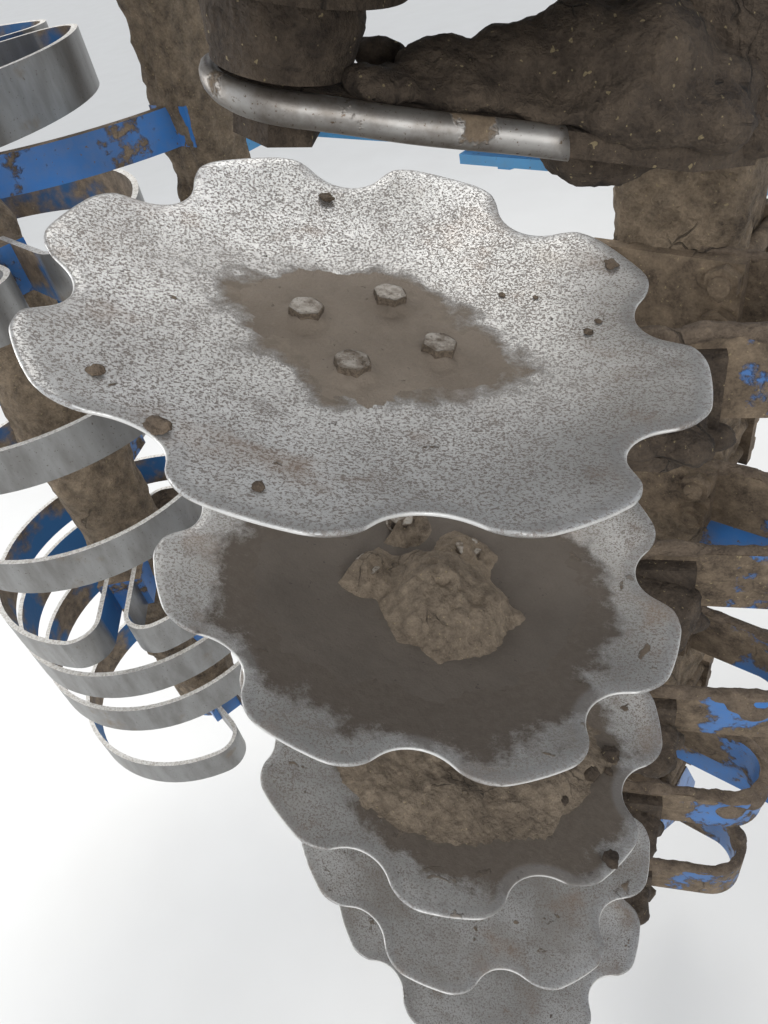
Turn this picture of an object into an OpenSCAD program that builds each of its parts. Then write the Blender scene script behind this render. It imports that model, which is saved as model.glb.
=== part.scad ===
// Folding wing of a compact disc harrow, standing folded upright.
// Millimetres. +X is the driving direction, +Y points away from the soil, and +Z is
// outboard, which is up while the wing is folded. The origin is on the fold hinge's axis,
// in the middle of the rear beam's hinge lugs.

/* [Main frame] */
// How far the main beams reach past the last spring arm's clamp
beam_past = 15; // [10:1:220]
// Height of the main beams' lower ends above the fold hinge
beam_z0 = 60; // [56:1:62]
// Width of the square main beams
beam_w = 100; // [90:1:120]
// Wall of the main beams
beam_wall = 8; // [4:0.5:12]
// Distance from the fold hinge's axis down to the middle of the beams
beam_drop = 95; // [90:1:120]
// Distance between the front and rear beams, the same as between the disc rows
row_gap = 900; // [820:10:1000]
// Width of the square cross beams
cross_w = 80; // [60:1:80]
// Wall of the cross beams
cross_wall = 6; // [3:0.5:10]
// Thickness of the caps on the beams' ends
cap_t = 8; // [4:1:16]

/* [Fold hinge] */
// Bore of the hinge lugs
hinge_d = 40.4; // [30:0.1:50]
// Thickness of a hinge lug
hinge_t = 20; // [12:1:25]
// Radius of the hinge lugs' eyes
hinge_eye_r = 44; // [36:1:50]
// Length of the hinge lugs along the beam
hinge_l = 150; // [140:1:152]
// Bore of the fold cylinder's lugs
ram_d = 30.4; // [20:0.1:40]
// Thickness of a cylinder lug
ram_t = 16; // [10:1:25]
// Clear width between the cylinder's lugs
ram_gap = 52; // [40:1:70]
// Radius of the cylinder lugs' eyes
ram_eye_r = 32; // [26:1:40]
// Height of the cylinder lugs' bore above the cross beam
ram_rise = 62; // [50:1:80]

/* [Disc rows] */
// Discs in each row
disc_count = 8; // [2:1:8]
// Distance between two discs of a row
disc_pitch = 250; // [244:1:252]
// Height of the rear row's first disc above the fold hinge
first_disc = 360; // [356:1:366]
// How far the front row sits below the rear row
row_shift = 125; // [115:1:130]
// Angle between the disc's axis and the beams, seen from above the field
sweep = 16; // [10:0.5:18]
// Lean of the disc's axis away from the soil
tilt = 9; // [5:0.5:11]

/* [Blade] */
// Diameter of the blade over its lobes
blade_d = 491; // [440:1:500]
// Thickness of the blade
blade_t = 5; // [4:0.5:8]
// Radius of the sphere that the blade is dished to
dish_r = 740; // [600:5:900]
// Diameter of the blade's flat middle
seat_d = 150; // [146:1:170]
// Notches round the rim
notch_count = 8; // [6:1:9]
// Depth of a notch
notch_depth = 35; // [20:1:40]
// Radius of a notch's floor
notch_r = 40; // [34:1:44]
// Radius of the lobes' corners
lobe_r = 40; // [30:1:44]

/* [Hub] */
// Diameter of the hub's flange
flange_d = 142; // [136:1:146]
// Thickness of the hub's flange
flange_t = 14; // [10:1:18]
// Diameter of the hub's barrel
barrel_d = 84; // [70:1:86]
// Distance from the blade's middle to the barrel's open end
hub_h = 60; // [52:1:62]
// Diameter of the stub axle
axle_d = 40; // [30:1:44]
// Radial clearance of shafts that turn in their bores
run_fit = 0.05; // [0.02:0.01:0.1]
// Diameter of the circle of blade bolts
bolt_circle = 104.6; // [102:0.2:110]
// Diameter of the blade bolts
bolt_d = 16; // [12:1:16]
// Blade bolts in each hub
bolt_count = 4; // [3:1:6]
// Width across the flats of the blade bolts' heads
bolt_af = 24; // [20:1:26]
// Height of the blade bolts' heads
bolt_head = 11; // [8:0.5:14]

/* [Spring arm] */
// Distance from the beams' middle down to the disc row's axis
hub_drop = 392; // [380:1:410]
// How far the disc row's axis trails behind the beam
hub_trail = 95; // [80:1:110]
// Width of the spring leaf, along the beam
leaf_w = 80; // [70:1:86]
// Thickness of the spring leaf
leaf_t = 14; // [10:1:18]
// Bend radius of the leaf, to the middle of its thickness
leaf_bend = 50; // [44:1:56]
// How far ahead of the disc row's axis the leaf reaches
leaf_reach = 310; // [290:1:330]
// Slope of the leaf's lower run
leaf_slope = 26; // [20:1:30]
// Length of the leaf's lower run
lower_run = 212; // [195:1:225]
// How far the leaf's middle sits behind the disc's middle
leaf_back = 100; // [96:1:102]
// Thickness of the hub carrier's plate and pad
carrier_t = 15; // [12:1:18]
// Radius of the hub carrier's rounded end
carrier_r = 42; // [38:1:48]
// Gap between the hub's open end and the spacer on its axle
hub_gap = 0.6; // [0.3:0.1:2]
// Height of the axle's nut under the carrier
axle_nut_h = 20; // [14:1:24]
// Width across the flats of the axle's nut
axle_nut_af = 50; // [46:1:60]
// Length of the pad that is bolted under the leaf
pad_l = 120; // [100:1:140]
// Thickness of the clamp plates on the beam
clamp_t = 14; // [8:1:20]
// Diameter of the clamp's bolts
clamp_bolt_d = 20; // [14:1:22]
// How far the clamp's bolts stick out of its plates
bolt_tail = 16; // [10:1:20]

/* [Roller frame] */
// Distance from the rear beam back to the roller beam
roller_beam_back = 741; // [700:1:780]
// Width of the square roller beam
roller_beam_w = 80; // [70:1:80]
// Distance from the rear beam's middle back to the arms' pivot
pivot_back = 105; // [95:1:130]
// Diameter of the arms' pivot pins
pivot_d = 40; // [30:1:44]
// Height of the roller arms' section, away from the soil
arm_h = 76; // [60:1:80]
// Width of the roller arms' section, along the beam
arm_w = 60; // [40:1:80]
// Thickness of the pivot lugs
pivot_lug_t = 15; // [10:1:20]
// Distance from the roller beam to the roller's axis, backwards
roller_back = 217; // [200:1:240]
// Distance from the roller beam down to the roller's axis
roller_drop = 323; // [310:1:340]
// Thickness of the hangers' bars
hanger_t = 16; // [10:1:20]
// Width of the hangers' bars, along the roller
hanger_w = 54; // [40:1:56]
// Bend radius of the hangers
hanger_r = 420; // [350:5:600]
// Thickness of the hangers' feet on the roller beam
hanger_foot = 12; // [8:1:20]
// Outer radius of the hangers' bearings
bearing_r = 62; // [50:1:66]

/* [Depth link] */
// Height of the depth link above the spring arm's clamp that lies under it
link_up = 86; // [84:1:120]
// Width of the square link bar
link_w = 50; // [40:1:56]
// Height of the link bar's middle above the beams' middle
link_rise = 112; // [110:1:130]
// Thickness of the slotted rails
rail_t = 12; // [8:1:16]
// Height of the slotted rails
rail_h = 92; // [84:1:100]
// How far the slotted rails reach behind the rear beam's middle
rail_reach = 330; // [325:1:345]
// Gap between the link bar and each rail
rail_gap = 1; // [0.5:0.1:2]
// Distance between the link's two bolts
link_bolt_gap = 100; // [90:1:110]
// Distance from the rails' rear ends to the first link bolt
link_bolt_in = 45; // [42:1:60]
// How far the link bar reaches past its second bolt
link_past = 40; // [30:1:60]
// Diameter of the link's clamp bolts
link_bolt_d = 22; // [16:1:24]
// How far the roller frame swings each way from its set depth
depth_swing = 5; // [2:0.5:5]

/* [Roller] */
// Outer diameter of the hoops
hoop_d = 540; // [500:5:560]
// Thickness of the hoops' flat bar
hoop_t = 9; // [6:0.5:12]
// Width of the hoops' flat bar, along the roller
hoop_w = 70; // [50:1:80]
// Radius at which the hoop's ends turn in
hook_r = 45; // [35:1:50]
// Half the distance between the hoop's two ends
hook_half = 26; // [22:1:32]
// Diameter of the roller's core tube
core_d = 140; // [110:1:150]
// Wall of the core tube
core_wall = 8; // [4:0.5:12]
// Diameter of the core's journals
journal_d = 50; // [40:1:60]
// Height of the first hoop above the fold hinge
first_hoop = 221; // [217:1:225]
// Distance between two hoops
hoop_pitch = 210; // [206:1:211]
// Distance from the lower bearing up to the first hoop
hoop_in = 73; // [66:1:90]
// Distance from the last hoop up to the upper bearing
hoop_out = 81; // [66:1:90]
// How far the clamps' jaws reach from the core's axis
jaw_r = 128; // [115:1:140]

/* [Hidden] */
$fn = 96;

paint = "#2a72b5";
bare_steel = "#9b9b98";
soil = "#5b4a3a";

beam_y = -beam_drop;
row_y = beam_y - hub_drop;
// Each beam has places for this many discs, and ends a little past the front row's last clamp
DISC_PLACES = 8;
beam_z1 = first_disc - row_shift + leaf_back + (DISC_PLACES - 1) * disc_pitch + leaf_w / 2 + beam_past;

// Cross beams lie halfway between a front clamp and the rear clamp above it, at these pitches
CROSS_STEPS = [0, 2, 6];
cross_z = [for (k = CROSS_STEPS) first_disc - row_shift / 2 + (k + 0.5) * disc_pitch];
// The cylinder's lugs stand on the middle cross beam, halfway between the rows
ram_x = row_gap / 2;
ram_y = beam_y + cross_w / 2 + ram_rise;

// Rows: x of the beam, height of the first disc, 1 if the hollow side faces up or -1 if down
REAR = [0, first_disc, 1];
FRONT = [row_gap, first_disc - row_shift, -1];

// Blade: the notch's floor circle, the corner circles, and where they meet
rim_r = blade_d / 2;
notch_c = rim_r - notch_depth + notch_r;
corner_c = rim_r - lobe_r;
corner_a = acos((pow(corner_c, 2) + pow(notch_c, 2) - pow(lobe_r + notch_r, 2))
    / (2 * corner_c * notch_c));
corner_steps = 6;
floor_steps = 8;
rim_steps = 2;
seat_r = seat_d / 2;
seat_top = dish_r - sqrt(pow(dish_r, 2) - pow(seat_r, 2));
seat_under = dish_r - sqrt(pow(dish_r + blade_t, 2) - pow(seat_r, 2));
bolt_clear = 0.5;

// Leaf, in the row's own axes: x ahead of the row's axis, y away from the soil
bend_x = leaf_reach - leaf_bend;
bend_y = hub_drop - beam_w / 2 - leaf_t / 2 - leaf_bend;
upper_run = bend_x - hub_trail + beam_w / 2;
carrier_top = hub_h + 5;
axle_tip = flange_t + 8;
// The carrier's pad is longer than the leaf is wide, most of it away from the blade
pad_up = 30;
pad_down = 66;
// Clamp's bolts, from the middle of the clamp
clamp_x = beam_w / 2 + clamp_bolt_d / 2 + 1;
clamp_z = leaf_w / 2 - clamp_bolt_d / 2 - 8;
clamp_low = -beam_w / 2 - leaf_t - clamp_t;
clamp_high = beam_w / 2 + clamp_t;

// Roller frame
roller_beam_x = -roller_beam_back;
roller_x = roller_beam_x - roller_back;
roller_y = beam_y - roller_drop;
pivot_x = -pivot_back;
// Arms sit halfway between two clamps of the rear row, at these pitches
ARM_STEPS = [0, 6];
arm_z = [for (k = ARM_STEPS) first_disc - leaf_back + (k + 0.5) * disc_pitch];
lug_gap = arm_w + 2;
lug_r = 38;
journal_r = journal_d / 2;

// Hoops: height above the first hoop in pitches, and the direction of the hoop's ends.
// One hoop has slipped down towards its neighbour.
HOOPS = [
    [0, -12], [1, 28], [1.55, 150], [2, -45], [3, 118], [4, 200], [5, -5], [6, 75],
    [7, 160], [8, 245]
];
HOOP_STEPS = 8;
// Heights of the roller's bearings, one below the hoops, one among them and one above them.
// The roller beam reaches from the lowest hanger or arm to the highest.
MID_BEARING = 5.5;
hanger_z = [
    first_hoop - hoop_in,
    first_hoop + MID_BEARING * hoop_pitch,
    first_hoop + HOOP_STEPS * hoop_pitch + hoop_out
];
roller_beam_z0 = min(hanger_z[0] - hanger_w / 2, arm_z[0] - arm_w / 2);
roller_beam_z1 = max(hanger_z[2] + hanger_w / 2, arm_z[1] + arm_w / 2);
hoop_mid = hoop_d / 2 - hoop_t / 2;
hook_x = sqrt(pow(hoop_mid - hook_r, 2) - pow(hook_half + hook_r, 2));
hook_a = atan2(hook_half + hook_r, hook_x);
leg_x0 = core_d / 2 + 16;
clamp_half = hook_half + hoop_t / 2 + 12;
core_z0 = hanger_z[0] + hanger_w / 2 + 1;
core_z1 = hanger_z[2] - hanger_w / 2 - 1;

// Depth link: its height above the field side of the clamp under it, and its bolts
LINK_STEP = 4;
link_z = first_disc - leaf_back + LINK_STEP * disc_pitch + link_up;
link_y = beam_y + link_rise;
LINK_BOLTS = [link_bolt_in - rail_reach, link_bolt_in + link_bolt_gap - rail_reach];

// Square tube along +Z, its middle on the axis
module square_tube(w, wall, l) {
    difference() {
        translate([-w / 2, -w / 2, 0]) cube([w, w, l]);
        translate([-w / 2 + wall, -w / 2 + wall, -1]) cube([w - 2 * wall, w - 2 * wall, l + 2]);
    }
}

// Square tube with a cap in each end
module capped_tube(w, wall, l) {
    square_tube(w, wall, l);
    for (z = [0, l - cap_t]) translate([-w / 2 + wall, -w / 2 + wall, z])
        cube([w - 2 * wall, w - 2 * wall, cap_t]);
}
module main_beam(x) {
    color(soil) translate([x, beam_y, beam_z0])
        capped_tube(beam_w, beam_wall, beam_z1 - beam_z0);
}

module cross_beams() {
    color(paint) for (z = cross_z)
        translate([beam_w / 2, beam_y, z]) rotate([0, 90, 0])
            square_tube(cross_w, cross_wall, row_gap - beam_w);
}

// Eye with two straight sides that widen to a foot, in the plane of its bore
module eye_plate(eye_r, bore_d, foot) {
    difference() {
        union() {
            circle(r = eye_r);
            polygon(foot);
        }
        circle(d = bore_d);
    }
}

// Two lugs on each main beam carry the wing on the machine's middle part
module hinge_lugs() {
    foot = [
        [-eye_tangent(hinge_eye_r)[0], eye_tangent(hinge_eye_r)[1]],
        [beam_y - beam_w / 2, beam_z0 + hinge_l * 0.3],
        [beam_y - beam_w / 2, beam_z0 + hinge_l],
        [beam_y + beam_w / 2, beam_z0 + hinge_l],
        [hinge_eye_r * 0.97, hinge_eye_r * 0.25]
    ];
    color(paint) for (x = [0, row_gap]) for (side = [-1, 1])
        translate([x + side * (beam_w / 2 + hinge_t / 2) - hinge_t / 2, 0, 0])
            rotate([90, 0, 90]) linear_extrude(hinge_t)
                eye_plate(hinge_eye_r, hinge_d, foot);
}
// Point on the eye where the lug's lower side leaves it
function eye_tangent(r) = [r * 0.5, -r * 0.87];

module cylinder_lugs() {
    w = cross_w / 2;
    foot = [[-ram_eye_r * 0.9, 0], [-w, -ram_rise], [w, -ram_rise], [ram_eye_r * 0.9, 0]];
    color(paint) for (side = [-1, 1])
        translate([ram_x + side * (ram_gap + ram_t) / 2 + ram_t / 2, ram_y, cross_z[1]])
            rotate([0, -90, 0]) linear_extrude(ram_t) eye_plate(ram_eye_r, ram_d, foot);
}

// Places its children once for each disc of a row, with the row's axis as origin
module row_places(row) {
    for (i = [0:disc_count - 1]) row_place(row, i) children();
}
module row_place(row, i) {
    translate([row[0] - hub_trail, row_y, row[1] + i * disc_pitch])
        mirror([0, 0, row[2] > 0 ? 0 : 1]) children();
}
// Turns its children to the disc's own axis
module disc_axis() {
    rotate([-tilt, sweep, 0]) children();
}

// C-shaped leaf: upper run under the beam, bend ahead of it, lower run back to the hub. The
// bend is a little thinner than the runs and laps into them.
module leaf_outline() {
    far = 2 * leaf_reach;
    lap = 2;
    bend_t = leaf_t - 0.4;
    translate([bend_x, bend_y]) {
        difference() {
            circle(r = leaf_bend + bend_t / 2);
            circle(r = leaf_bend - bend_t / 2);
            translate([-far - lap, -far]) square([far, 2 * far]);
            rotate(leaf_slope) translate([-far - lap, -far]) square(far);
        }
        translate([-upper_run, leaf_bend - leaf_t / 2]) square([upper_run, leaf_t]);
        rotate(leaf_slope) translate([-lower_run, -leaf_bend - leaf_t / 2]) square([lower_run, leaf_t]);
    }
}
module leaves(row) {
    color(paint) row_places(row) translate([0, 0, -leaf_back]) difference() {
        translate([0, 0, -leaf_w / 2]) linear_extrude(leaf_w) leaf_outline();
        for (z = [-clamp_z, clamp_z]) translate([hub_trail + clamp_x, bend_y + leaf_bend, z])
            rotate([90, 0, 0]) cylinder(d = clamp_bolt_d + 2, h = 2 * leaf_t, center = true);
    }
}

// Hub carrier: a plate square to the disc's axis, polished along its lower edge, and a pad
// under the leaf's lower run
module carriers(row) {
    color(soil) row_places(row) difference() {
        union() {
            intersection() {
                disc_axis() translate([-blade_d, -blade_d, -carrier_top - carrier_t])
                    cube([2 * blade_d, 2 * blade_d, carrier_t]);
                translate([0, 0, -blade_d]) linear_extrude(blade_d) carrier_outline();
            }
            translate([0, 0, -leaf_back - pad_down]) linear_extrude(pad_up + pad_down) pad_outline();
        }
        disc_axis() translate([0, 0, -carrier_top - carrier_t - 20])
            cylinder(r = axle_d / 2 + run_fit, h = carrier_t + 40);
    }
}
module pad_outline() {
    translate([bend_x, bend_y]) rotate(leaf_slope)
        translate([-lower_run, -leaf_bend - leaf_t / 2 - carrier_t]) square([pad_l, carrier_t]);
}
// The plate's outline on the soil side follows a shallow hollow from the hub to the pad's heel
CARRIER_HOLLOW = [[124, 62], [84, 18]];
CARRIER_HEEL = [-20, -58];
module carrier_outline() {
    hub = [-sin(sweep) * carrier_top, -sin(tilt) * carrier_top];
    pad = [bend_x, bend_y] + turn(leaf_slope, [-lower_run, -leaf_bend - leaf_t / 2 - carrier_t / 2]);
    far = pad + turn(leaf_slope, [pad_l, 0]);
    translate(hub) circle(r = carrier_r);
    polygon([
        hub + carrier_r * [-0.72, 0.69], pad, far, far + CARRIER_HEEL,
        for (p = CARRIER_HOLLOW) hub + p, hub + carrier_r * [0.85, -0.52]
    ]);
}
function turn(a, p) = [p[0] * cos(a) - p[1] * sin(a), p[0] * sin(a) + p[1] * cos(a)];

// Stub axle with its spacer under the hub and its nut under the carrier
module axles(row) {
    color(bare_steel) row_places(row) disc_axis() {
        translate([0, 0, -carrier_top - carrier_t])
            cylinder(d = axle_d, h = carrier_top + carrier_t - axle_tip);
        translate([0, 0, -carrier_top]) cylinder(d = axle_d + 14, h = carrier_top - hub_h - hub_gap);
        translate([0, 0, -carrier_top - carrier_t - axle_nut_h])
            cylinder(d = axle_nut_af / cos(30), h = axle_nut_h, $fn = 6);
    }
}

// Clamp: plate over the beam, plate under the leaf, and four bolts beside the beam. The pair
// ahead of the beam goes through the leaf.
module clamps(row) {
    plate = 2 * (clamp_x + clamp_bolt_d * 0.8);
    color(soil) row_places(row) translate([hub_trail, hub_drop, -leaf_back]) {
        for (y = [clamp_low, beam_w / 2])
            translate([-plate / 2, y, -leaf_w / 2]) cube([plate, clamp_t, leaf_w]);
        for (x = [-clamp_x, clamp_x]) for (z = [-clamp_z, clamp_z]) translate([x, 0, z]) {
            translate([0, clamp_low - bolt_tail, 0]) rotate([-90, 0, 0])
                cylinder(d = clamp_bolt_d, h = clamp_high - clamp_low + 2 * bolt_tail);
            translate([0, clamp_high - 1, 0]) rotate([-90, 0, 0]) clamp_nut();
            translate([0, clamp_low + 1, 0]) rotate([90, 0, 0]) clamp_nut();
        }
    }
}
module clamp_nut() {
    rotate(30) cylinder(d = 1.5 * clamp_bolt_d / cos(30), h = 0.6 * clamp_bolt_d, $fn = 6);
}

// Blade: dished shell with a notched rim, and a flat middle for the hub's flange.
// The rim is one closed outline of arcs: a notch's corner, floor and other corner, then the
// lobe's own stretch of the rim.
function arc(c, r, from, to, steps) =
    [for (k = [0:steps - 1]) c + r * [for (f = [0, 90]) cos(from + k * (to - from) / steps - f)]];
function notch_points(at) =
    let (
        corner = corner_c * [cos(corner_a), sin(corner_a)],
        meet_a = atan2(corner[1], notch_c - corner[0]),
        pitch = 360 / notch_count,
        points = concat(
            arc([corner[0], -corner[1]], lobe_r, -corner_a, meet_a, corner_steps),
            arc([notch_c, 0], notch_r, 180 + meet_a, 180 - meet_a, floor_steps),
            arc(corner, lobe_r, -meet_a, corner_a, corner_steps),
            arc([0, 0], rim_r, corner_a, pitch - corner_a, rim_steps)
        )
    )
    [for (p = points) turn(at, p)];
module blade_outline() {
    polygon([for (k = [0:notch_count - 1]) each notch_points(k * 360 / notch_count)]);
}
// Half section of the dished part, from the flat middle out to the rim
module dish_profile() {
    intersection() {
        translate([0, dish_r]) difference() {
            circle(r = dish_r + blade_t, $fn = 720);
            circle(r = dish_r, $fn = 720);
        }
        translate([seat_r, -2 * blade_t]) square([rim_r + 1 - seat_r, rim_r]);
    }
}
module blade(row, i) {
    color(bare_steel) row_place(row, i) disc_axis() rotate(notch_phase(i)) difference() {
        union() {
            intersection() {
                rotate_extrude() dish_profile();
                translate([0, 0, -2 * blade_t]) linear_extrude(rim_r) blade_outline();
            }
            translate([0, 0, seat_under]) cylinder(r = seat_r, h = seat_top - seat_under);
        }
        bolt_places() translate([0, 0, -2 * blade_t])
            cylinder(d = bolt_d + 2 * bolt_clear, h = 4 * blade_t);
    }
}
// The blade's bolts stand in line with lobes
module bolt_places() {
    for (k = [0:bolt_count - 1]) rotate(k * 360 / bolt_count + 180 / notch_count)
        translate([bolt_circle / 2, 0]) children();
}
// Each disc has come to rest with its notches at another angle
function notch_phase(i) = [36, 41.3, 9.7, 33.5, 44.5, 20, 13, 28][i % 8];

// Hub: flange under the blade, barrel with the bearing bore, and the blade's bolts
module hub(row, i) {
    color(soil) row_place(row, i) disc_axis() rotate(notch_phase(i)) {
        difference() {
            union() {
                translate([0, 0, seat_under - flange_t]) cylinder(d = flange_d, h = flange_t);
                translate([0, 0, -hub_h]) cylinder(d = barrel_d, h = hub_h - flange_t / 2);
            }
            translate([0, 0, -hub_h - 1]) cylinder(r = axle_d / 2 + run_fit, h = hub_h - axle_tip + 3);
        }
        bolt_places() {
            translate([0, 0, seat_under - flange_t / 2])
                cylinder(d = bolt_d, h = flange_t / 2 + seat_top - seat_under + 1);
            translate([0, 0, seat_top]) cylinder(d = bolt_af / cos(30), h = bolt_head, $fn = 6);
        }
    }
}

// Pivot lugs on the rear beam's back, a pair for each roller arm
module pivot_lugs() {
    color(paint) for (z = arm_z) for (side = [-1, 1])
        translate([pivot_x, beam_y, z + side * (lug_gap + pivot_lug_t) / 2 - pivot_lug_t / 2])
            linear_extrude(pivot_lug_t) difference() {
                union() {
                    circle(r = lug_r);
                    translate([0, -lug_r]) square([pivot_back - beam_w / 2, 2 * lug_r]);
                }
                circle(r = pivot_d / 2 + run_fit);
            }
}
module pivot_pins() {
    pin_l = lug_gap + 2 * pivot_lug_t + 10;
    color(bare_steel) for (z = arm_z) translate([pivot_x, beam_y, z - pin_l / 2]) {
        cylinder(d = pivot_d, h = pin_l);
        translate([0, 0, pin_l]) cylinder(d = pivot_d + 16, h = 6);
    }
}

module roller_beam() {
    color(soil) translate([roller_beam_x, beam_y, roller_beam_z0])
        capped_tube(roller_beam_w, cross_wall, roller_beam_z1 - roller_beam_z0);
}
// Arms from the pivots back to the roller beam
module roller_arms() {
    x0 = roller_beam_x + roller_beam_w / 2;
    x1 = pivot_x - 28;
    color(paint) for (z = arm_z) difference() {
        union() {
            translate([x0, beam_y - arm_h / 2, z - arm_w / 2]) cube([x1 - x0, arm_h, arm_w]);
            translate([pivot_x, beam_y, z - arm_w / 2]) cylinder(d = arm_h, h = arm_w);
        }
        translate([x0 - 1, beam_y - arm_h / 2 + cross_wall, z - arm_w / 2 + cross_wall])
            cube([x1 - x0 - 20, arm_h - 2 * cross_wall, arm_w - 2 * cross_wall]);
        translate([pivot_x, beam_y, z - arm_w]) cylinder(r = pivot_d / 2 + run_fit, h = 2 * arm_w);
    }
}

// Hangers: a bar bent to an arc from the roller beam down to each bearing
module hanger_outline() {
    foot_y = beam_y - roller_beam_w / 2 - hanger_foot;
    a = [roller_beam_x, foot_y + hanger_foot / 2];
    b = [roller_x, roller_y];
    chord = b - a;
    mid = (a + b) / 2;
    rise = sqrt(pow(hanger_r, 2) - pow(norm(chord) / 2, 2));
    c = mid + rise * [chord[1], -chord[0]] / norm(chord);
    aa = a - c;
    bb = b - c;
    difference() {
        union() {
            translate(c) intersection() {
                difference() {
                    circle(r = hanger_r + hanger_t / 2);
                    circle(r = hanger_r - hanger_t / 2);
                }
                polygon([[0, 0], 1.3 * bb, 1.3 * (aa + bb) / 1.8, 1.3 * aa]);
            }
            translate(b) circle(r = bearing_r);
            translate([roller_beam_x - roller_beam_w / 2, foot_y]) square([roller_beam_w, hanger_foot]);
        }
        translate(b) circle(r = journal_r + run_fit);
    }
}
module roller_hangers() {
    color(paint) for (z = hanger_z)
        translate([0, 0, z - hanger_w / 2]) linear_extrude(hanger_w) hanger_outline();
}

// Two slotted rails on the rear beam guide the link bar
module link_rails() {
    foot_y = beam_y + beam_w / 2;
    rail_y = link_y - rail_h / 2;
    color(paint) for (side = [-1, 1])
        translate([0, 0, link_z + side * (link_w / 2 + rail_gap + rail_t / 2) - rail_t / 2])
            linear_extrude(rail_t) difference() {
                union() {
                    translate([-rail_reach, rail_y]) square([rail_reach + beam_w / 2, rail_h]);
                    translate([-beam_w / 2, foot_y]) square([beam_w, rail_y - foot_y + 1]);
                }
                for (x = LINK_BOLTS) bolt_slot(x);
            }
}
// Slot along the way that a link bolt goes round the arms' pivot, wide enough for its curve
module bolt_slot(x) {
    from_pivot = [x - pivot_x, link_rise];
    half_l = norm(from_pivot) * sin(depth_swing) + 1;
    half_w = link_bolt_d / 2 + 1.5;
    translate([x, link_y]) rotate(atan2(from_pivot[1], from_pivot[0]) + 90) {
        square([2 * half_l, 2 * half_w], center = true);
        for (s = [-1, 1]) translate([s * half_l, 0]) circle(r = half_w);
    }
}
// Link bar on the roller beam, with the bolts that clamp it between the rails
module depth_link() {
    x0 = roller_beam_x - roller_beam_w / 2;
    x1 = LINK_BOLTS[1] + link_past;
    low = beam_y + roller_beam_w / 2;
    head_h = 14;
    stack = link_w + 2 * (rail_t + rail_gap) + 4;
    color(paint) {
        translate([x0, link_y - link_w / 2, link_z - link_w / 2]) cube([x1 - x0, link_w, link_w]);
        translate([x0, low, link_z - link_w / 2 - 10])
            cube([roller_beam_w, link_y - link_w / 2 - low, link_w + 20]);
        for (x = LINK_BOLTS) translate([x, link_y, link_z]) {
            cylinder(d = link_bolt_d, h = stack, center = true);
            for (s = [-1, 1]) translate([0, 0, s * (stack + head_h - 2) / 2])
                cylinder(d = 1.64 * link_bolt_d, h = head_h, center = true, $fn = 6);
        }
    }
}

// Core tube in two lengths, with a journal at each end and one between them
module roller_core() {
    gap0 = hanger_z[1] - hanger_w / 2 - 1;
    gap1 = hanger_z[1] + hanger_w / 2 + 1;
    end_t = 12;
    color(soil) translate([roller_x, roller_y, 0]) {
        for (span = [[core_z0, gap0], [gap1, core_z1]]) translate([0, 0, span[0]]) difference() {
            cylinder(d = core_d, h = span[1] - span[0]);
            translate([0, 0, end_t])
                cylinder(d = core_d - 2 * core_wall, h = span[1] - span[0] - 2 * end_t);
        }
        for (z = hanger_z) translate([0, 0, z - hanger_w / 2 - 1 - end_t / 2])
            cylinder(d = journal_d, h = hanger_w + 2 + end_t);
    }
}

module hoop_places() {
    for (h = HOOPS) translate([roller_x, roller_y, first_hoop + h[0] * hoop_pitch]) rotate(h[1]) children();
}
// Hoop of flat bar: most of a circle, with both ends turned in to the clamp. The turned part
// is a little thinner than the bar and runs a little way into it.
module hoop_outline() {
    hook_t = hoop_t - 0.4;
    difference() {
        circle(r = hoop_d / 2);
        circle(r = hoop_d / 2 - hoop_t);
        polygon([[0, 0], for (s = [-1, 1]) hoop_d * [cos(hook_a), s * sin(hook_a)]]);
    }
    for (side = [-1, 1]) mirror([0, side > 0 ? 0 : 1]) {
        translate([hook_x, hook_half + hook_r]) intersection() {
            difference() {
                circle(r = hook_r + hook_t / 2);
                circle(r = hook_r - hook_t / 2);
            }
            polygon([[0, 0], for (a = [-90, (hook_a - 87) / 2, hook_a + 3]) 2 * hook_r * [cos(a), sin(a)]]);
        }
        translate([leg_x0, hook_half - hoop_t / 2]) square([hook_x - leg_x0, hoop_t]);
    }
}
module hoops() {
    color(bare_steel) hoop_places() translate([0, 0, -hoop_w / 2]) linear_extrude(hoop_w) hoop_outline();
}
// Clamp: a block on the core with a slot for each end of the hoop
module hoop_clamps() {
    color(paint) hoop_places() difference() {
        translate([0, -clamp_half, -hoop_w / 2]) cube([jaw_r, 2 * clamp_half, hoop_w]);
        translate([0, 0, -hoop_w]) cylinder(d = core_d, h = 2 * hoop_w);
        for (side = [-1, 1])
            translate([leg_x0, side * hook_half - hoop_t / 2, -hoop_w]) cube([jaw_r, hoop_t, 2 * hoop_w]);
    }
}

main_beam(FRONT[0]);  // front_beam
main_beam(REAR[0]);  // rear_beam
cross_beams();
hinge_lugs();
cylinder_lugs();
leaves(FRONT);  // front_leaves
leaves(REAR);  // rear_leaves
carriers(FRONT);  // front_carriers
carriers(REAR);  // rear_carriers
axles(FRONT);  // front_axles
axles(REAR);  // rear_axles
clamps(FRONT);  // front_clamps
clamps(REAR);  // rear_clamps
pivot_lugs();
pivot_pins();
link_rails();
roller_beam();
roller_arms();
roller_hangers();
depth_link();
roller_core();
hoop_clamps();
hoops();
for (i = [0:disc_count - 1]) {
    blade(FRONT, i);
    blade(REAR, i);
    hub(FRONT, i);
    hub(REAR, i);
}
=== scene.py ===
"""Looks of a folding disc harrow wing: worn discs, caked soil, scuffed blue paint."""
import math
import random

import bmesh
import bpy
from mathutils import Euler, Matrix, Vector, noise


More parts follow.
